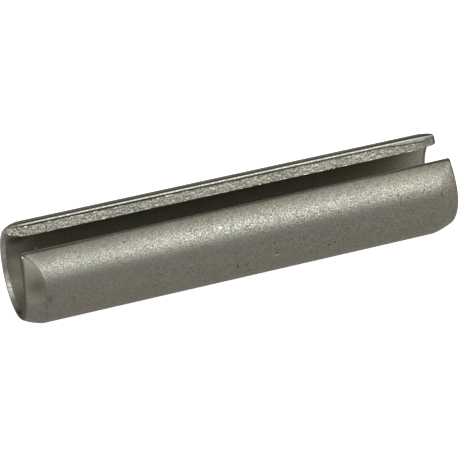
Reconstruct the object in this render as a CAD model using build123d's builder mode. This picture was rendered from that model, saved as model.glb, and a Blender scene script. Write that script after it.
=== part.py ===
from build123d import *

import os

# Slotted spring pin: one strip of spring steel rolled into an open C, with swaged lead-in ends.
#
# The pin lies along X with its slot straight up, as it rests on a flat surface. The origin is on
# the axis, halfway along. Lengths are in millimetres and angles in degrees.

# The pin as a whole
pin_length = 28.2  # over the crowned ends
pin_radius = 3.2  # free outside radius, before the pin is driven
wall = 0.87  # thickness of the strip
slot_angle = 46.4  # opening of the slot, seen from the axis

# Sheared edges of the strip, which face each other across the slot
land_height = 0.19  # smooth sheared band below the outer corner
land_step = 0.04  # how far that band stands out from the torn face

# Swaged noses at both ends, drawn in all round but for the corners of the slot
nose_length = 1.50
back_drop = 0.40  # how far the end is drawn in opposite the slot
side_drop = 0.33  # how far it is drawn in at the sides
nose_power = 1.5  # 1 is a plain cone, and more is a rounder nose
die_clearance = 0.03  # how far the swaging die stands off the body where the nose starts
flank_angle = 60.0  # where the die's round back gives way to its flanks beside the slot
corner_angle = 21.7  # where the flanks end, just inside the slot
nose_stations = (0.0, 0.30, 0.55, 0.80, 1.0)  # sections, as shares of the nose's length
corner_lifts = (0.22, 0.22, 0.21, 0.115, -0.115)  # die's clearance of the slot's corner at each
mouth_half_width = 2.28  # oval mouth of the bore at the end face
mouth_half_height = 2.56
mouth_rise = 0.16  # shift of the mouth's centre towards the slot
mouth_power = 1.9  # like nose_power, for the bore
lip_setback = 0.22  # how far the slot's corners stop short of the crown of the end
outer_rounding = 0.12  # outer corners, along the slot and round the ends
mouth_bevel_width = 0.10  # bevel on the inner edge of the end faces
mouth_bevel_depth = 0.22  # along the bore

# Sizes that follow from the driving ones
bore_radius = pin_radius - wall
half_length = pin_length / 2
half_slot = slot_angle / 2
nose_start = half_length - nose_length
cutter_margin = 1.0  # how far cutting tools reach past the metal
nearness = 0.03  # how close an edge lies to where it is looked for


def polar(radius, angle):
    """Point on a ring about the axis, at an angle from the slot's middle."""
    return Vector(0, radius).rotate(Axis.Z, -angle)


def die_section(share, corner_lift):
    """Inside of the swaging die: a round back, and flanks that open out beside the slot."""
    taper = share**nose_power
    side_radius = pin_radius + die_clearance - taper * (side_drop + die_clearance)
    rise = taper * (back_drop - side_drop) / 2
    with BuildSketch(Plane.YZ.offset(nose_start + share * nose_length)) as section:
        with BuildLine():
            back = CenterArc((0, rise), side_radius - rise, 90 + flank_angle, 360 - 2 * flank_angle)
            right_corner = polar(pin_radius + corner_lift, corner_angle)
            left_corner = polar(pin_radius + corner_lift, -corner_angle)
            TangentArc(back @ 1, right_corner, tangent=back % 1)
            TangentArc(back @ 0, left_corner, tangent=-(back % 0))
            ThreePointArc(left_corner, polar(pin_radius + corner_lift, 0), right_corner)
        make_face()
    return section.sketch


def bore_section(share):
    """Outline of the hole through the nose, round where it starts and oval at the mouth."""
    taper = share**mouth_power
    half_width = bore_radius + taper * (mouth_half_width - bore_radius)
    half_height = bore_radius + taper * (mouth_half_height - bore_radius)
    with BuildSketch(Plane.YZ.offset(nose_start + share * nose_length)) as section:
        with Locations((0, taper * mouth_rise)):
            Ellipse(half_height, half_width, rotation=90)
    return section.sketch


def off_axis(edge):
    """How far the middle of an edge lies from the axis of the pin."""
    middle = edge.position_at(0.5)
    return Vector(0, middle.Y, middle.Z).length


def at_end(edge):
    """Whether the middle of an edge lies on one of the end faces."""
    return abs(edge.position_at(0.5).X) > half_length - lip_setback


# Bore through the strip's roll, with its oval mouths
with BuildPart() as bore:
    with BuildSketch(Plane.YZ):
        Circle(bore_radius)
    extrude(amount=nose_start, both=True)
    loft([bore_section(share) for share in nose_stations])
    mirror(about=Plane.YZ)

# Inside of the two swaging dies, with free room for the body between them
with BuildPart() as dies:
    with BuildSketch(Plane.YZ):
        Circle(pin_radius + cutter_margin)
    extrude(amount=nose_start, both=True)
    loft([die_section(share, lift) for share, lift in zip(nose_stations, corner_lifts)])
    mirror(about=Plane.YZ)

with BuildPart() as spring_pin:
    # Rolled body, swaged at both ends and still solid
    with BuildSketch(Plane.YZ):
        Circle(pin_radius)
    extrude(amount=half_length, both=True)
    add(dies.part, mode=Mode.INTERSECT)

    # Slot: torn faces along the radii, with the smooth land standing out above each
    with BuildSketch(Plane.YZ):
        with BuildLine():
            land_foot = polar(pin_radius - land_height, half_slot)
            land_top = polar(pin_radius + cutter_margin, half_slot)
            step = Vector(land_step, 0).rotate(Axis.Z, -half_slot)
            Polyline((0, 0), step, land_foot + step, land_foot, land_top, (0, land_top.Y))
            mirror(about=Plane.YZ)
        make_face()
    extrude(amount=half_length + cutter_margin, both=True, mode=Mode.SUBTRACT)

    # Ends: square across the back, bowing in a little towards the corners of the slot
    with BuildSketch(Plane.XZ):
        with BuildLine():
            square_end = Line((half_length, -pin_radius - cutter_margin), (half_length, 0))
            slot_corner = Vector(half_length - lip_setback, polar(pin_radius, half_slot).Y)
            TangentArc(square_end @ 1, slot_corner, tangent=(0, 1))
            Polyline(slot_corner, (slot_corner.X, pin_radius), (0, pin_radius))
            Line(square_end @ 0, (0, (square_end @ 0).Y))
            mirror(about=Plane.YZ)
        make_face()
    extrude(amount=pin_radius + cutter_margin, both=True, mode=Mode.INTERSECT)

    # Outer corners, rolled over along the slot and round both ends
    corner_height = polar(pin_radius, half_slot).Y
    lips = spring_pin.edges().filter_by(
        lambda edge: off_axis(edge) > pin_radius - nearness
        and edge.position_at(0.5).Z > corner_height - nearness
        and edge.length > land_height
    )
    rims = spring_pin.edges().filter_by(GeomType.BSPLINE).filter_by(at_end)
    fillet(lips + rims, outer_rounding)

    # Bore right through, bevelled in both mouths
    add(bore.part, mode=Mode.SUBTRACT)
    for end_face in spring_pin.faces().filter_by(Axis.X):
        mouth = end_face.edges().filter_by(GeomType.BSPLINE).sort_by(off_axis)[0]
        chamfer(mouth, mouth_bevel_width, mouth_bevel_depth, reference=end_face)

os.makedirs("parts", exist_ok=True)
spring_pin.part.label = "spring_pin"
export_step(spring_pin.part, "parts/spring_pin.step")
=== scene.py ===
import math
from collections import namedtuple
from functools import cached_property

import bmesh
import bpy
from mathutils import Matrix, Vector, noise


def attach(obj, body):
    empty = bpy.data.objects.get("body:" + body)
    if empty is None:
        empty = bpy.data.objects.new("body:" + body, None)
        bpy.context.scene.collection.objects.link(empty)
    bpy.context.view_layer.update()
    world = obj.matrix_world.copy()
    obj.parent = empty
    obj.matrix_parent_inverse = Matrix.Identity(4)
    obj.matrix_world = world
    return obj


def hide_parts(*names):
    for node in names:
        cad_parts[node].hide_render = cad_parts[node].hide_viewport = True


# Slotted spring pin: a strip of spring steel rolled into an open C, with swaged ends.
# It lies along X with its slot up. The right end is the one towards +X, and the far side the one towards +Y.
# Lengths below are in millimetres until a mesh is finished, and then in metres.
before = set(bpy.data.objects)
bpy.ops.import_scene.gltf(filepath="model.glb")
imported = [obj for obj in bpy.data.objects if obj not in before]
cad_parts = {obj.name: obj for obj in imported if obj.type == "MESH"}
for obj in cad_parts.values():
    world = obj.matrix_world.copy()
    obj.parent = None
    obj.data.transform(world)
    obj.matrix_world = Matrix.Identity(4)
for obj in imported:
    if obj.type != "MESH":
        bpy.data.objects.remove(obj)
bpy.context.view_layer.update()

MM = 0.001
LEFT, RIGHT = -1, 1
NEAR, FAR = -1, 1

HALF_LENGTH = 14.1
NOSE_START = 12.6
NOSE_LENGTH = HALF_LENGTH - NOSE_START
RADIUS = 3.2
WALL = 0.87
BORE_RADIUS = RADIUS - WALL
HALF_SLOT = math.radians(23.2)
HALF_STRIP = (math.pi - HALF_SLOT) * RADIUS  # from the middle of the flat strip to its edge

# Sheared edges of the strip: a smooth land, and below it the torn face, which lies back
LAND_HEIGHT = 0.19
LAND_STEP = 0.04
LAND_FOOT = WALL - LAND_HEIGHT
EDGE_ROUND = 0.16  # outer edges of the strip, along the slot and round the ends
TEAR_HEIGHT = 0.07  # how far under the land the torn face reaches its full depth
TEAR_ROUGH = 0.022  # unevenness of the torn face
WIDE_LAND = 0.11  # how much further down the smooth band reaches on the far side at the right end
WIDE_LAND_RUN = (10.0, 12.4)  # where along the pin it gets that wide
LIP_ADVANCE = 0.065  # how far the near lip stands out into the slot at the right end
LIP_ADVANCE_RUN = (9.0, 12.0)  # where along the pin it comes to that
LIP_ADVANCE_DEPTH = 2.0  # how far in from the edge it dies out

# Swaged noses: how far the end is drawn in at the back and at the sides, how round that is, how far the end
# face leans out, where it does, as a turn from the slot towards the far side, and how much closer the die
# comes to the slot's corners midway
Nose = namedtuple("Nose", "back_drop side_drop power lean lean_turn tuck")
NOSES = {
    LEFT: Nose(0.46, 0.30, 1.7, 0.08, math.radians(150), 0.06),
    RIGHT: Nose(0.40, 0.33, 1.5, 0.06, math.radians(-90), 0.0),
}
DIE_CLEARANCE = 0.03  # how far the die stands off the body where the nose starts
FLANK = math.radians(60.0)  # where the die's round back gives way to its flanks
CORNER = math.radians(21.7)  # where the flanks end, just inside the slot
LIFT_AT = (0.0, 0.30, 0.55, 0.80, 1.0)  # sections, as shares of the nose's length
LIFTS = (0.22, 0.22, 0.21, 0.115, -0.115)  # the die's clearance of the slot's corner at each

# Corners of the slot: how far the end face stands back there, at the outside and at the bore, and how rounded
# the corner is, seen flat
Corner = namedtuple("Corner", "outer_setback inner_setback rounding")
CORNERS = {
    (LEFT, NEAR): Corner(0.22, 0.22, 0.12),
    (LEFT, FAR): Corner(0.06, 0.06, 0.14),
    (RIGHT, NEAR): Corner(0.15, 0.15, 0.22),
    (RIGHT, FAR): Corner(0.10, 0.10, 0.10),
}

# The far corner at the right flares less and is drawn in further than the others
TIP_FLARE = 0.38  # share of the mouth's flare left there
TIP_DROP = 0.05
TIP_SPREAD = math.radians(35)  # how far round from the corner both reach

# Mouths of the bore
MOUTH_HALF_WIDTH = 2.28
MOUTH_HALF_HEIGHT = 2.56
MOUTH_RISE = 0.16  # shift of the mouth's centre towards the slot
MOUTH_POWER = 1.9  # how round the flare is
BEVEL_WIDTH = 0.10
BEVEL_DEPTH = 0.22  # along the bore


# ---------------------------------------------------------------- shape of the swaged ends

def smooth(value, low, high):
    """0 up to low, 1 from high on, smooth between."""
    share = max(0.0, min(1.0, (value - low) / (high - low)))
    return share * share * (3 - 2 * share)


def nose_share(x):
    """How far along the nose a place is: 0 where it starts and 1 at the end, and negative on the body."""
    return (x - NOSE_START) / NOSE_LENGTH


def corner_lift(share):
    """How far the die stands off the slot's corner, on a smooth curve through its sections."""
    total = 0.0
    for i, (at, lift) in enumerate(zip(LIFT_AT, LIFTS)):
        weight = 1.0
        for k, other in enumerate(LIFT_AT):
            if k != i:
                weight *= (share - other) / (at - other)
        total += weight * lift
    return total


def ray_to_circle(psi, centre, radius, way=1):
    """Distance from the axis to a circle, along a ray at psi from the slot's middle. A way of -1 takes the
    nearer of the two crossings."""
    along = centre[0] * math.sin(psi) + centre[1] * math.cos(psi)
    off = centre[0] ** 2 + centre[1] ** 2 - radius ** 2
    return along + way * math.sqrt(max(along * along - off, 0.0))


def die_radius(x, psi, nose):
    """Inside of the swaging die at x from the middle and psi from the middle of the slot."""
    share = max(0.0, nose_share(x))
    taper = share ** nose.power
    side = RADIUS + DIE_CLEARANCE - taper * (nose.side_drop + DIE_CLEARANCE)
    rise = taper * (nose.back_drop - nose.side_drop) / 2
    back = side - rise
    if psi >= FLANK:
        return ray_to_circle(psi, (0.0, rise), back)
    # the flank is an arc that leaves the round back smoothly and ends at the slot's corner
    inward = Vector((-math.sin(FLANK), -math.cos(FLANK)))
    start = Vector((0.0, rise)) - inward * back
    reach = RADIUS + corner_lift(share) - nose.tuck * 4 * share * (1 - share)
    end = Vector((math.sin(CORNER), math.cos(CORNER))) * reach
    chord = end - start
    bend = 2 * chord.dot(inward) / chord.length_squared
    flank = 1 / bend if abs(bend) > 1e-6 else 1e6
    return ray_to_circle(psi, start + inward * flank, flank, 1 if flank > 0 else -1)


def before_crease(x, psi, nose):
    """Distance from a place on the body to the crease where the die's mark starts, and negative past it."""
    if x < NOSE_START:
        return 1.0
    step = 0.02
    along = (die_radius(x + step, psi, nose) - die_radius(x - step, psi, nose)) / (2 * step)
    turn = step / RADIUS
    across = (die_radius(x, psi + turn, nose) - die_radius(x, psi - turn, nose)) / (2 * step)
    slope = max(math.hypot(along, across), 0.02)
    return max(-1.0, min(1.0, (die_radius(x, psi, nose) - RADIUS) / slope))


def inner_radius(x, psi, flare):
    """Wall of the bore: round along the body, oval towards the mouths."""
    share = nose_share(x)
    if share <= 0.0:
        return BORE_RADIUS
    taper = flare * share ** MOUTH_POWER
    wide = BORE_RADIUS + taper * (MOUTH_HALF_WIDTH - BORE_RADIUS)
    high = BORE_RADIUS + taper * (MOUTH_HALF_HEIGHT - BORE_RADIUS)
    rise = taper * MOUTH_RISE
    sy, sz = math.sin(psi) / wide, math.cos(psi) / high
    a = sy * sy + sz * sz
    b = -sz * rise / high
    c = (rise / high) ** 2 - 1
    return (-b + math.sqrt(b * b - a * c)) / a


def crowned_end(height, setback):
    """Where the end face stands at a height over the axis: square below it, and bowed in above."""
    if height <= 0.0:
        return HALF_LENGTH
    lip_height = RADIUS * math.cos(HALF_SLOT)
    bow = (lip_height ** 2 + setback ** 2) / (2 * setback)
    return HALF_LENGTH - (bow - math.sqrt(bow * bow - height * height))


# ---------------------------------------------------------------- the rolled strip

def steps(*runs):
    """Places from 0 upwards, given as runs of (where the run ends, number of equal steps)."""
    places = [0.0]
    for end, count in runs:
        start = places[-1]
        places += [start + (end - start) * k / count for k in range(1, count + 1)]
    return places


def both_ways(half, places):
    """The same places counted from -half and from half, up to the middle."""
    return [-half + place for place in places[:-1]] + [half - place for place in reversed(places)]


# Grid of the flat strip: stations along it, columns across it and rows up from the bore, finer near its edges
END_STEPS = steps((EDGE_ROUND, 5), (0.24, 2), (1.74, 30), (HALF_LENGTH, 122))
EDGE_STEPS = steps((EDGE_ROUND, 5), (0.22, 1), (2.1, 24), (HALF_STRIP, 28))
STATIONS = both_ways(HALF_LENGTH, END_STEPS)
COLUMNS = both_ways(HALF_STRIP, EDGE_STEPS)
ROWS = steps((LAND_FOOT - TEAR_HEIGHT, 9), (LAND_FOOT, 3), (WALL - EDGE_ROUND, 1), (WALL, 6))
FOOT_ROW = ROWS.index(LAND_FOOT)

OUTER, LAND, TORN, BORE, END = range(5)  # order of the finishes


def rounded(a, b, radius):
    """Draws a point near a corner, a and b away from its two sides, in to the rounded corner."""
    if a >= radius or b >= radius:
        return a, b
    a, b = radius - a, radius - b
    shrink = max(a, b) / math.hypot(a, b)
    return radius - a * shrink, radius - b * shrink


def torn_edge(x, up, side):
    """How far a torn face lies back, at x along the pin and up from the bore, and how far its foot strays."""
    wide = smooth(x, *WIDE_LAND_RUN) if side == FAR else 0.0
    foot = LAND_FOOT - WIDE_LAND * wide
    torn = max(0.0, min(1.0, (foot - up) / TEAR_HEIGHT))
    ragged = Vector((x * 6, side * 7, up * 7))
    uneven = 0.0 if abs(x) == HALF_LENGTH else TEAR_ROUGH * noise.fractal(ragged, 0.8, 2.0, 3)
    stray = 1.5 * TEAR_ROUGH * noise.fractal(ragged + Vector((0, 5, 0)), 0.8, 2.0, 2)
    return torn * (LAND_STEP + uneven), stray


def rolled(station, column, row):
    """Point of the finished pin for a place on the flat strip, then that place (along, in from the edge of
    its side, up), and how far it lies before the crease where the die's mark starts."""
    x, across, up = STATIONS[station], COLUMNS[column], ROWS[row]
    edge = HALF_STRIP - abs(across)
    end = HALF_LENGTH - abs(x)
    hand = RIGHT if x > 0 else LEFT
    side = FAR if across >= 0 else NEAR
    nose = NOSES[hand]
    corner = CORNERS[hand, side]

    # sheared edge: under the land the metal is torn, and lies back from it
    if edge == 0.0 and row < FOOT_ROW:
        edge, stray = torn_edge(x, up, side)
        if row == 0:
            up += stray

    # edges rolled over along the slot and round the ends
    down = WALL - up
    if edge < end:
        edge, down = rounded(edge, down, EDGE_ROUND)
    else:
        end, down = rounded(end, down, EDGE_ROUND)
    up = WALL - down
    edge, end = rounded(edge, end, corner.rounding)

    # bevel in the mouth
    up += BEVEL_WIDTH * max(0.0, 1 - end / BEVEL_DEPTH) * (1 - up / WALL)

    # roll, with the near lip standing out at the right
    angle = (HALF_STRIP - edge) / RADIUS
    if side == NEAR:
        fading = max(0.0, 1 - edge / LIP_ADVANCE_DEPTH)
        angle += LIP_ADVANCE * smooth(x, *LIP_ADVANCE_RUN) * fading / RADIUS
    psi = math.pi - angle

    # end faces
    along = HALF_LENGTH - end
    if along > NOSE_START:
        height = (BORE_RADIUS + up) * math.cos(psi)
        setback = corner.inner_setback + (corner.outer_setback - corner.inner_setback) * up / WALL
        lean = nose.lean * (1 + math.cos(side * psi - nose.lean_turn)) / 2
        along = NOSE_START + (along - NOSE_START) * nose_share(crowned_end(height, setback) + lean)

    # swaging
    tip = max(0.0, 1 - (psi - HALF_SLOT) / TIP_SPREAD) ** 2 if (hand, side) == (RIGHT, FAR) else 0.0
    inner = inner_radius(along, psi, 1 - tip * (1 - TIP_FLARE))
    outer = min(RADIUS, die_radius(along, psi, nose)) - tip * TIP_DROP * max(0.0, nose_share(along))
    radius = inner + up / WALL * (outer - inner)
    point = Vector((hand * along, side * radius * math.sin(angle), -radius * math.cos(angle)))
    return point, Vector((x, side * edge, up)), before_crease(along, psi, nose) if up > WALL / 2 else 1.0


def build_pin():
    """The strip is cut into a grid while flat, gets its finishes, and is rolled and swaged into the pin."""
    bm = bmesh.new()
    strip = bm.verts.layers.float_vector.new("strip")
    crease = bm.verts.layers.float.new("crease")
    bmesh.ops.create_cube(bm, size=1.0)
    for axis, places in enumerate((STATIONS, COLUMNS, ROWS)):
        lines = [e for e in bm.edges if abs(e.verts[0].co[axis] - e.verts[1].co[axis]) > 0.5]
        bmesh.ops.subdivide_edges(bm, edges=lines, cuts=len(places) - 2)
    counts = (len(STATIONS) - 1, len(COLUMNS) - 1, len(ROWS) - 1)
    places = {v: tuple(round((v.co[k] + 0.5) * counts[k]) for k in range(3)) for v in bm.verts}
    bevel_steps = sum(1 for step in END_STEPS if step < BEVEL_DEPTH)
    for face in bm.faces:
        stations, _, rows = zip(*(places[v] for v in face.verts))
        face.smooth = True
        if min(rows) == counts[2]:
            face.material_index = OUTER
        elif max(rows) == 0:
            near_end = min(max(stations), counts[0] - min(stations)) <= bevel_steps
            face.material_index = END if near_end else BORE
        elif len(set(stations)) == 1:
            face.material_index = END
        else:
            face.material_index = LAND if min(rows) >= FOOT_ROW else TORN
    for vert, place in places.items():
        point, vert[strip], vert[crease] = rolled(*place)
        vert.co = point * MM
    bmesh.ops.recalc_face_normals(bm, faces=bm.faces)
    mesh = bpy.data.meshes.new("pin_steel")
    bm.to_mesh(mesh)
    bm.free()
    mesh.set_sharp_from_angle(angle=math.radians(35))
    piece = bpy.data.objects.new("pin_steel", mesh)
    bpy.context.scene.collection.objects.link(piece)
    return piece


# ---------------------------------------------------------------- finishes

class Socket:
    """A shader socket that takes plain arithmetic."""

    def __init__(self, finish, socket):
        self.finish = finish
        self.socket = socket

    def math(self, operation, *others):
        values = dict(enumerate((self,) + others))
        return self.finish.node("ShaderNodeMath", {"operation": operation}, values)

    def __add__(self, other):
        return self.math("ADD", other)

    def __sub__(self, other):
        return self.math("SUBTRACT", other)

    def __rsub__(self, other):
        return self.finish.node("ShaderNodeMath", {"operation": "SUBTRACT"}, {0: other, 1: self})

    def __mul__(self, other):
        return self.math("MULTIPLY", other)

    def __truediv__(self, other):
        return self.math("DIVIDE", other)

    def __rtruediv__(self, other):
        return self.finish.node("ShaderNodeMath", {"operation": "DIVIDE"}, {0: other, 1: self})

    __radd__ = __add__
    __rmul__ = __mul__


class Finish:
    """Node tree of one finish."""

    def __init__(self, name):
        self.material = bpy.data.materials.new(name)
        self.material.use_nodes = True
        self.tree = self.material.node_tree
        self.tree.nodes.clear()

    def node(self, kind, settings=None, values=None, out=0):
        """Adds a node: first its settings, then the values or links of its sockets."""
        made = self.tree.nodes.new(kind)
        for name, value in (settings or {}).items():
            setattr(made, name, value)
        for name, value in (values or {}).items():
            socket = made.inputs[name]
            if isinstance(value, Socket):
                self.tree.links.new(value.socket, socket)
            else:
                socket.default_value = value
        return Socket(self, made.outputs[out]) if len(made.outputs) else None

    def show(self, shader):
        self.node("ShaderNodeOutputMaterial", None, {"Surface": shader})
        return self.material

    @cached_property
    def place(self):
        """Place on the pin, in metres."""
        return self.node("ShaderNodeTexCoord", out="Object")

    @cached_property
    def across(self):
        """Place across the pin, towards the far side, in millimetres."""
        return self.split(self.place, 1) / MM

    @cached_property
    def level(self):
        """Height over the axis, in millimetres."""
        return self.split(self.place, 2) / MM

    @cached_property
    def strip(self):
        """Place on the flat strip, in millimetres: along the pin, in from the slot's edge (positive on the
        far side and negative on the near one), and up from the bore."""
        place = self.node("ShaderNodeAttribute", {"attribute_name": "strip"}, out="Vector")
        return [self.split(place, k) for k in range(3)]

    @cached_property
    def crease(self):
        """How far before the crease of the nose, in millimetres."""
        return self.node("ShaderNodeAttribute", {"attribute_name": "crease"}, out="Fac")

    def mix(self, factor, first, second):
        return self.node("ShaderNodeMix", {"data_type": "RGBA"}, {0: factor, 6: first, 7: second}, out=2)

    def ramp(self, value, low, high):
        """0 up to low, 1 from high on, smooth between. It also runs downwards, with high below low."""
        return self.node(
            "ShaderNodeMapRange", {"interpolation_type": "SMOOTHSTEP"},
            {"Value": value, "From Min": low, "From Max": high, "To Min": 0.0, "To Max": 1.0},
        )

    def band(self, value, middle, half_width):
        """1 at the middle, fading to 0 half a width away on both sides."""
        return 1 - self.ramp((value - middle).math("ABSOLUTE"), 0.0, half_width)

    def split(self, vector, part):
        return self.node("ShaderNodeSeparateXYZ", None, {0: vector}, out=part)

    def vector(self, operation, first, second, out=0):
        return self.node("ShaderNodeVectorMath", {"operation": operation}, {0: first, 1: second}, out=out)

    def spot(self, middle, size, core):
        """1 in the core of a soft spot and 0 past its size, with both lengths in millimetres."""
        away = self.vector("SUBTRACT", self.place, tuple(m * MM for m in middle))
        shares = self.vector("DIVIDE", away, tuple(m * MM for m in size))
        return 1 - self.ramp(self.vector("LENGTH", shares, (0, 0, 0), out="Value"), core, 1.0)

    def noise(self, size, seed, detail=1.0):
        """Uneven value about 0.5, with lumps of a size in millimetres."""
        return self.node(
            "ShaderNodeTexNoise", {"noise_dimensions": "4D"},
            {"Vector": self.place, "W": seed, "Scale": 1 / (size * MM), "Detail": detail, "Roughness": 0.5},
        )


WHITE = (1, 1, 1, 1)

# Grain of the blasted steel
GRAIN_SIZE = 0.085
GRAIN_DEPTH = 0.0115

# Colours of dirt and scale, which also stand for painted shade, of bare sheared metal, and of painted glints
# and highlights
DIRT_AND_SHADE = (0.03, 0.028, 0.024, 1)
GRIME = (0.05, 0.046, 0.04, 1)
SMUDGE = (0.06, 0.055, 0.045, 1)
SCALE_AND_SHADE = (0.075, 0.062, 0.055, 1)
OLD_OIL = (0.085, 0.078, 0.065, 1)
RUST = (0.20, 0.145, 0.11, 1)
SHEARED = (0.52, 0.495, 0.41, 1)
PAINTED_DIM_GLINT = (0.60, 0.58, 0.50, 1)
PAINTED_BEVEL_HIGHLIGHT = (0.65, 0.63, 0.55, 1)
PAINTED_GLINT = (0.95, 0.93, 0.85, 1)

# Pits on the outside: middle (along, across towards the slot, up) and size along each, in millimetres
PITS = (
    ((-7.63, -1.91, 2.56), (0.18, 0.06, 0.07)),
    ((1.77, -3.20, 0.08), (0.17, 0.09, 0.065)),
    ((5.26, -3.19, -0.24), (0.11, 0.10, 0.10)),
    ((5.66, -3.19, -0.15), (0.08, 0.10, 0.11)),
    ((9.47, -2.49, 2.01), (0.08, 0.09, 0.08)),
    ((10.00, -2.52, 1.97), (0.08, 0.08, 0.09)),
    ((10.61, -2.70, 1.71), (0.09, 0.09, 0.08)),
    ((12.88, -2.80, 1.50), (0.05, 0.20, 0.36)),
)
# Soft stains and scuffs on the outside, and two painted glints: middle and size as above, strength and colour
STAINS = (
    ((-13.34, -2.81, 1.52), (0.50, 0.50, 0.65), 0.75, RUST),
    ((-13.55, -2.87, 1.32), (0.95, 0.70, 1.00), 0.52, OLD_OIL),
    ((-12.73, -3.16, 0.50), (0.28, 0.30, 0.42), 0.55, SMUDGE),
    ((-12.36, -2.93, 1.29), (0.09, 0.12, 0.12), 0.80, GRIME),
    ((-0.77, -3.18, -0.34), (0.13, 0.14, 0.34), 0.95, GRIME),
    ((-0.11, -3.18, -0.30), (0.11, 0.14, 0.34), 0.70, SMUDGE),
    ((0.06, -3.03, -1.01), (0.18, 0.22, 0.22), 0.95, SMUDGE),
    ((1.71, -3.18, 0.32), (0.32, 0.16, 0.24), 0.55, (0.10, 0.097, 0.09, 1)),
    ((1.78, -3.20, -0.09), (0.26, 0.10, 0.09), 0.90, (0.38, 0.365, 0.32, 1)),
    # painted highlights: two small glints on the outside
    ((-1.60, -2.23, 2.29), (0.13, 0.13, 0.13), 0.80, (0.55, 0.53, 0.47, 1)),
    ((-1.99, -2.26, 2.27), (0.12, 0.12, 0.12), 0.40, (0.60, 0.58, 0.52, 1)),
)


def steel(name, light, dark, rough, relief, marks, grain=GRAIN_SIZE, contrast=1.25, tint=WHITE, calm=None):
    """Blasted, lightly oxidised spring steel. marks draws on the colour, tint dulls it where it is seen edge
    on, and calm is where the grain is fainter."""
    f = Finish(name)
    cloud = f.noise(2.2, seed=1.0, detail=2.0)
    mottle = f.noise(0.22, seed=2.0)
    fine = f.noise(grain, seed=3.0)
    if calm:
        fine = 0.5 + (fine - 0.5) * (1 - 0.65 * calm(f))
    shade = f.ramp((cloud - 0.5) * 0.25 + (mottle - 0.5) * 0.35 + (fine - 0.5) * contrast, -0.35, 0.35)
    specks = f.ramp(f.noise(0.11, seed=4.0), 0.68, 0.80)
    colour = f.mix(specks * 0.5, f.mix(shade, dark, light), tuple(0.3 * c for c in dark[:3]) + (1,))
    height = 0.2 * mottle + 0.8 * fine - 0.5 * specks
    bump = f.node(
        "ShaderNodeBump", None, {"Strength": relief, "Distance": GRAIN_DEPTH * MM, "Height": height},
    )
    return f.show(f.node("ShaderNodeBsdfPrincipled", None, {
        "Base Color": marks(f, colour),
        "Metallic": 1.0,
        "Specular Tint": tint,
        "Roughness": rough + 0.5 * (0.5 - fine) + 0.1 * specks,
        "Normal": bump,
    }))


def rubbed(f):
    """Where the grain is rubbed down: the far side next to the slot, and less so the near side at the left.
    On the near shoulder at the right it is stronger instead."""
    along, edge, _ = f.strip
    far = f.ramp(edge, 0.0, 0.2) * (1 - f.ramp(edge, 2.5, 5.0))
    near = f.ramp(edge, 0.0, -0.2)
    shoulder = f.ramp(f.level, 0.2, 0.9) * (1 - f.ramp(f.level, 1.5, 2.2)) * f.ramp(along, -2.0, 3.0)
    return far + near * (f.ramp(along, -3.0, -8.0) * 0.28 - shoulder * 1.6)


def lip_line(f, colour):
    """Painted shade: a dark line round the shoulder of the rolled outer corner. On the near side it lies
    further back, behind a lighter band, and both are faint but for the ends."""
    along, edge, height = f.strip
    shoulder = edge.math("ABSOLUTE") - (WALL - height)
    far = f.band(shoulder, 0.055, 0.045) * f.ramp(edge, -0.05, 0.0) * 0.65
    near_side = f.ramp(edge, 0.0, -0.05) * (0.3 + 0.7 * f.ramp(along.math("ABSOLUTE"), 8.0, 11.0))
    colour = f.mix(f.band(shoulder, 0.03, 0.08) * near_side * 0.5, colour, (0.50, 0.47, 0.38, 1))
    near = f.band(shoulder, 0.18, 0.09) * near_side * 0.75
    return f.mix(far.math("MAXIMUM", near), colour, DIRT_AND_SHADE)


def corner_glint(f, colour):
    """Painted glints on the near corners of the slot, with painted shade beside them."""
    colour = f.mix(f.spot((-13.80, -1.50, 2.77), (0.13, 0.14, 0.14), 0.5) * 0.7, colour, DIRT_AND_SHADE)
    colour = f.mix(f.spot((13.90, -1.38, 2.79), (0.14, 0.16, 0.13), 0.5) * 0.85, colour, DIRT_AND_SHADE)
    colour = f.mix(f.spot((13.93, -1.55, 2.66), (0.10, 0.09, 0.10), 0.4) * 0.6, colour, PAINTED_DIM_GLINT)
    return f.mix(f.spot((-13.88, -1.50, 2.72), (0.08, 0.09, 0.10), 0.5), colour, PAINTED_GLINT)


def outside_marks(f, colour):
    along, edge, _ = f.strip
    # a brown tinge low down, and painted light: the top of the nose at the left lighter
    low = f.ramp(f.level, -0.6, -2.2)
    colour = f.mix(low * 0.5, colour, (0.175, 0.150, 0.128, 1))
    nose = f.ramp(along, -12.9, -13.8) * f.ramp(f.level, -0.5, 1.0)
    colour = f.mix(nose * 0.45, colour, (0.34, 0.312, 0.25, 1))
    left = f.ramp(along, -9.0, -13.0) * f.ramp(f.level, -0.3, -1.3)
    colour = f.mix(left * 0.6, colour, (0.180, 0.140, 0.132, 1))
    for middle, size, strength, stain in STAINS:
        colour = f.mix(f.spot(middle, size, 0.0) * strength, colour, stain)
    # pits painted as dark spots: dirt and the shade they hold
    for middle, size in PITS:
        colour = f.mix(f.spot(middle, size, 0.4) * 0.9, colour, DIRT_AND_SHADE)
    # the far lip darker at the right
    lip = f.ramp(along, 9.5, 11.5) * f.ramp(edge, 0.0, 0.1) * (1 - f.ramp(edge, 0.5, 1.5))
    colour = f.mix(lip * 0.35, colour, DIRT_AND_SHADE)
    # painted shade: a dark line where the dies' marks start, sharpest next to the slot and at the left
    far = f.ramp(edge.math("ABSOLUTE"), 0.3, 2.6)
    crease = f.band(f.crease, 0.0, 0.05) * (0.85 - 0.6 * far) * (1 - 0.72 * f.ramp(along, 0.0, 1.0))
    return corner_glint(f, lip_line(f, f.mix(crease, colour, DIRT_AND_SHADE)))


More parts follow.
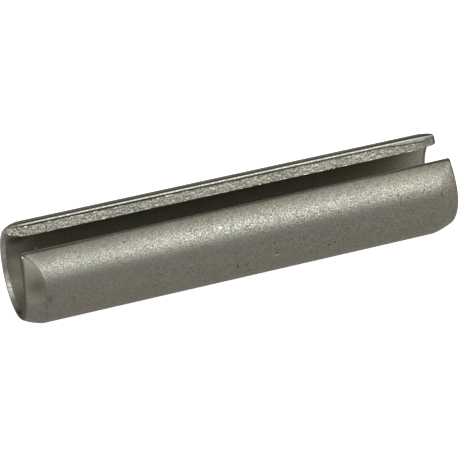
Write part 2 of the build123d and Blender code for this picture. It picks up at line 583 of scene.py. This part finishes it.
def land_marks(f, colour):
    """Scuffed darker where the dies have drawn the ends in, bright on the far side at the right, and painted
    shade along the near lip at the right end.
    """
    along, edge, height = f.strip
    wide = f.ramp(along, *WIDE_LAND_RUN) * (1 - f.ramp(along, 13.1, 13.6)) * f.ramp(edge, -0.05, 0.0)
    colour = f.mix(wide * (1 - f.ramp(height, 0.70, 0.78)), colour, SHEARED)
    scuffed = f.ramp(along, -13.0, -13.5).math("MAXIMUM", f.ramp(along, 13.2, 13.7) * 0.8)
    # painted shade along the near lip at the right end
    near = f.ramp(along, 11.8, 12.8) * f.ramp(edge, 0.1, -0.1)
    scuff_and_shade = scuffed.math("MAXIMUM", near).math("MAXIMUM", f.ramp(along, 10.0, 12.0) * 0.3)
    return lip_line(f, f.mix(scuff_and_shade * 0.7, colour, (0.08, 0.075, 0.065, 1)))


def torn_marks(f, colour):
    """Duller and browner where the dies have drawn the right end in, with painted shade in the step under the
    land and along the very end at the right. On the far side at the right the bright band reaches down over
    the tear, with painted shade in the step under it."""
    along, edge, height = f.strip
    far = f.ramp(edge, -0.05, 0.0)
    colour = f.mix(f.ramp(along, 12.3, 13.4) * 0.8, colour, (0.15, 0.135, 0.105, 1))
    # painted shade in the step under the land
    step = f.band(height, LAND_FOOT - 0.03, 0.06) * far * (1 - f.ramp(along, 9.0, 10.5))
    colour = f.mix(step * (0.2 + 0.8 * f.ramp(along, -0.5, -6.0)) * f.ramp(along, -13.6, -13.0), colour, DIRT_AND_SHADE)
    colour = f.mix(f.ramp(along, 9.8, 11.8) * 0.4, colour, (0.20, 0.188, 0.153, 1))
    wide = f.ramp(along, *WIDE_LAND_RUN) * far
    foot = LAND_FOOT - WIDE_LAND * wide
    bright = wide * (1 - f.ramp(along, 13.1, 13.6))
    colour = f.mix(bright * f.ramp(height, foot - 0.03, foot), colour, SHEARED)
    # painted shade in the step under the bright band
    colour = f.mix(bright * f.band(height, foot - 0.06, 0.06) * 0.8, colour, DIRT_AND_SHADE)
    # painted shade along the very end at the right
    return f.mix(f.ramp(along, 13.85, 14.05) * 0.8, colour, DIRT_AND_SHADE)


def bore_marks(f, colour):
    """Painted light: lighter towards both mouths, where more light gets in, with painted light and shade in
    patches near the one at the left.
    """
    along, _, _ = f.strip
    colour = f.mix(f.ramp(along, 11.0, 14.0) * 0.5, colour, (0.45, 0.42, 0.35, 1))
    colour = f.mix(f.ramp(along, -11.8, -13.6) * 0.5, colour, (0.42, 0.40, 0.31, 1))
    for middle, size, core, strength, patch in (
        ((-13.35, 2.15, -1.10), (0.80, 0.70, 0.80), 0.0, 0.7, (0.60, 0.56, 0.44, 1)),
        ((-13.60, 0.90, -2.25), (0.60, 0.95, 0.50), 0.2, 0.4, (0.19, 0.18, 0.158, 1)),
        ((-13.25, 2.20, 0.90), (0.90, 0.55, 0.75), 0.2, 0.75, (0.08, 0.07, 0.06, 1)),
        ((-11.99, 2.31, -0.30), (0.12, 0.12, 0.10), 0.3, 0.8, (0.55, 0.53, 0.46, 1)),
        ((-13.55, 1.77, 1.51), (0.18, 0.20, 0.22), 0.2, 0.8, (0.06, 0.04, 0.042, 1)),
    ):
        colour = f.mix(f.spot(middle, size, core) * strength, colour, patch)
    return colour


def end_marks(f, colour):
    """Painted shade on the near side of the end faces and on the far side at the right end, darker round
    their far rim, and a painted highlight in patches on the bevel low down.
    """
    along, edge, height = f.strip
    # painted shade on the near side of the end faces
    colour = f.mix(f.ramp(f.across, 0.2, -1.2) * 0.75, colour, SCALE_AND_SHADE)
    # painted shade on the far side of the right end
    colour = f.mix(f.ramp(along, 0.0, 1.0) * f.ramp(edge, -0.1, 0.1) * 0.75, colour, (0.085, 0.072, 0.058, 1))
    rim = f.ramp(height, 0.55, 0.75) * f.ramp(edge, 0.3, 1.2) * (1 - f.ramp(edge, 7.5, 8.5))
    colour = f.mix(rim * 0.6, colour, SCALE_AND_SHADE)
    low = f.ramp(edge, 4.8, 6.4) * (1 - f.ramp(edge, 7.9, 8.2))
    bevel = 1 - f.ramp(height, 0.10, 0.13)
    # painted highlight on the bevel low down, broken into patches
    highlight_patches = f.ramp(f.noise(0.16, seed=5.0), 0.30, 0.50)
    return corner_glint(f, f.mix(low * bevel * highlight_patches, colour, PAINTED_BEVEL_HIGHLIGHT))


pin = build_pin()
for finish in (
    steel(
        "blasted_steel", light=(0.211, 0.193, 0.152, 1), dark=(0.127, 0.117, 0.092, 1), rough=0.475,
        relief=1.0, marks=outside_marks, tint=(0.82, 0.79, 0.71, 1), calm=rubbed,
    ),
    steel(
        "sheared_steel", light=(0.28, 0.26, 0.215, 1), dark=(0.22, 0.208, 0.17, 1), rough=0.42, relief=0.3,
        marks=land_marks, contrast=1.0,
    ),
    steel(
        "torn_steel", light=(0.78, 0.73, 0.585, 1), dark=(0.205, 0.19, 0.15, 1), rough=0.50, relief=1.6,
        marks=torn_marks, grain=0.10, contrast=1.8,
    ),
    steel(
        "bore_steel", light=(0.236, 0.217, 0.150, 1), dark=(0.157, 0.143, 0.097, 1), rough=0.60, relief=0.8,
        marks=bore_marks,
    ),
    steel(
        "end_steel", light=(0.52, 0.485, 0.42, 1), dark=(0.30, 0.275, 0.23, 1), rough=0.48, relief=1.0,
        marks=end_marks, contrast=2.0, tint=(0.40, 0.35, 0.31, 1),
    ),
):
    pin.data.materials.append(finish)
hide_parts("spring_pin")
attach(pin, "root")


# ---------------------------------------------------------------- camera, floor and light

LOOK_DOWN = math.radians(43.69)
YAW = math.radians(15.7)  # how far the view stands off square to the pin
ROLL = math.radians(12.63)
DISTANCE = 47.5  # in radii of the pin, as the offset is
OFFSET = (0.0555, 0.0370)  # of the pin's middle from the middle of the view, to the right and up
SEEN_RADIUS = 51.488  # the pin's radius in the view, in pixels
SEEN_WIDTH = 458  # and the view's width
SENSOR = 36
LAMP_DISTANCE = 300
FLOOR_HALF = 0.6  # in metres


def from_view(v):
    """From the levelled view, with the pin across it, to the pin's own frame."""
    return Matrix.Rotation(-LOOK_DOWN, 3, "X") @ Matrix.Rotation(-YAW, 3, "Z") @ v


def add_camera():
    right = from_view(Vector((math.cos(ROLL), 0, -math.sin(ROLL))))
    up = from_view(Vector((math.sin(ROLL), 0, math.cos(ROLL))))
    ahead = from_view(Vector((0, 1, 0)))
    eye = from_view(Vector((0, -DISTANCE, 0))) - right * OFFSET[0] - up * OFFSET[1]
    lens = bpy.data.cameras.new("view")
    lens.lens = SEEN_RADIUS * DISTANCE / SEEN_WIDTH * SENSOR
    lens.sensor_width = SENSOR
    lens.clip_start = 0.01
    camera = bpy.data.objects.new("view", lens)
    turned = Matrix((right, up, -ahead)).transposed().to_4x4()
    camera.matrix_world = Matrix.Translation(eye * RADIUS * MM) @ turned
    bpy.context.scene.collection.objects.link(camera)
    bpy.context.scene.camera = camera


def lamp(name, across, height, size, power, colour=(1, 1, 1)):
    """A soft round lamp, facing the pin. Seen along the view, across is how far to the right along the pin it
    stands, and height is its turn round the pin above the line of sight, both in degrees. Its size is in
    millimetres."""
    light = bpy.data.lights.new(name, "AREA")
    light.shape = "DISK"
    light.size = size * MM
    light.energy = power
    light.color = colour
    made = bpy.data.objects.new(name, light)
    a, h = math.radians(across), math.radians(height)
    way = Vector((math.sin(a), -math.cos(a) * math.cos(h), math.cos(a) * math.sin(h)))
    made.location = Matrix.Rotation(-LOOK_DOWN, 3, "X") @ way * LAMP_DISTANCE * MM
    made.rotation_euler = made.location.to_track_quat("Z", "Y").to_euler()
    bpy.context.scene.collection.objects.link(made)


def add_floor():
    """White paper that glows to the camera alone, so that it looks white and still keeps its shadow."""
    mesh = bpy.data.meshes.new("floor")
    bm = bmesh.new()
    bmesh.ops.create_grid(bm, x_segments=1, y_segments=1, size=FLOOR_HALF)
    bmesh.ops.translate(bm, verts=bm.verts, vec=(0, 0, -RADIUS * MM))
    bm.to_mesh(mesh)
    bm.free()
    floor = bpy.data.objects.new("floor", mesh)
    bpy.context.scene.collection.objects.link(floor)
    paper = Finish("paper")
    seen = paper.node("ShaderNodeLightPath", out="Is Camera Ray") * 0.8
    matte = paper.node("ShaderNodeBsdfDiffuse", None, {"Color": (0.8, 0.8, 0.8, 1)})
    glow = paper.node("ShaderNodeEmission", None, {"Color": WHITE, "Strength": seen})
    floor.data.materials.append(paper.show(paper.node("ShaderNodeAddShader", None, {0: matte, 1: glow})))
    return floor


add_camera()

lamp("key", 14, -0.2, 90, 0.487, (0.887, 1.0, 1.11))
lamp("top", 22, 24, 120, 0.14)
lamp("right", 48, 1, 140, 0.30)
lamp("left", -32, 24, 140, 0.28)
lamp("side", -70, 10, 160, 0.08)

add_floor()

world = bpy.data.worlds.new("studio")
bpy.context.scene.world = world
world.use_nodes = True
world.node_tree.nodes["Background"].inputs["Color"].default_value = WHITE
world.node_tree.nodes["Background"].inputs["Strength"].default_value = 0.3

bpy.context.scene.view_settings.view_transform = "Standard"
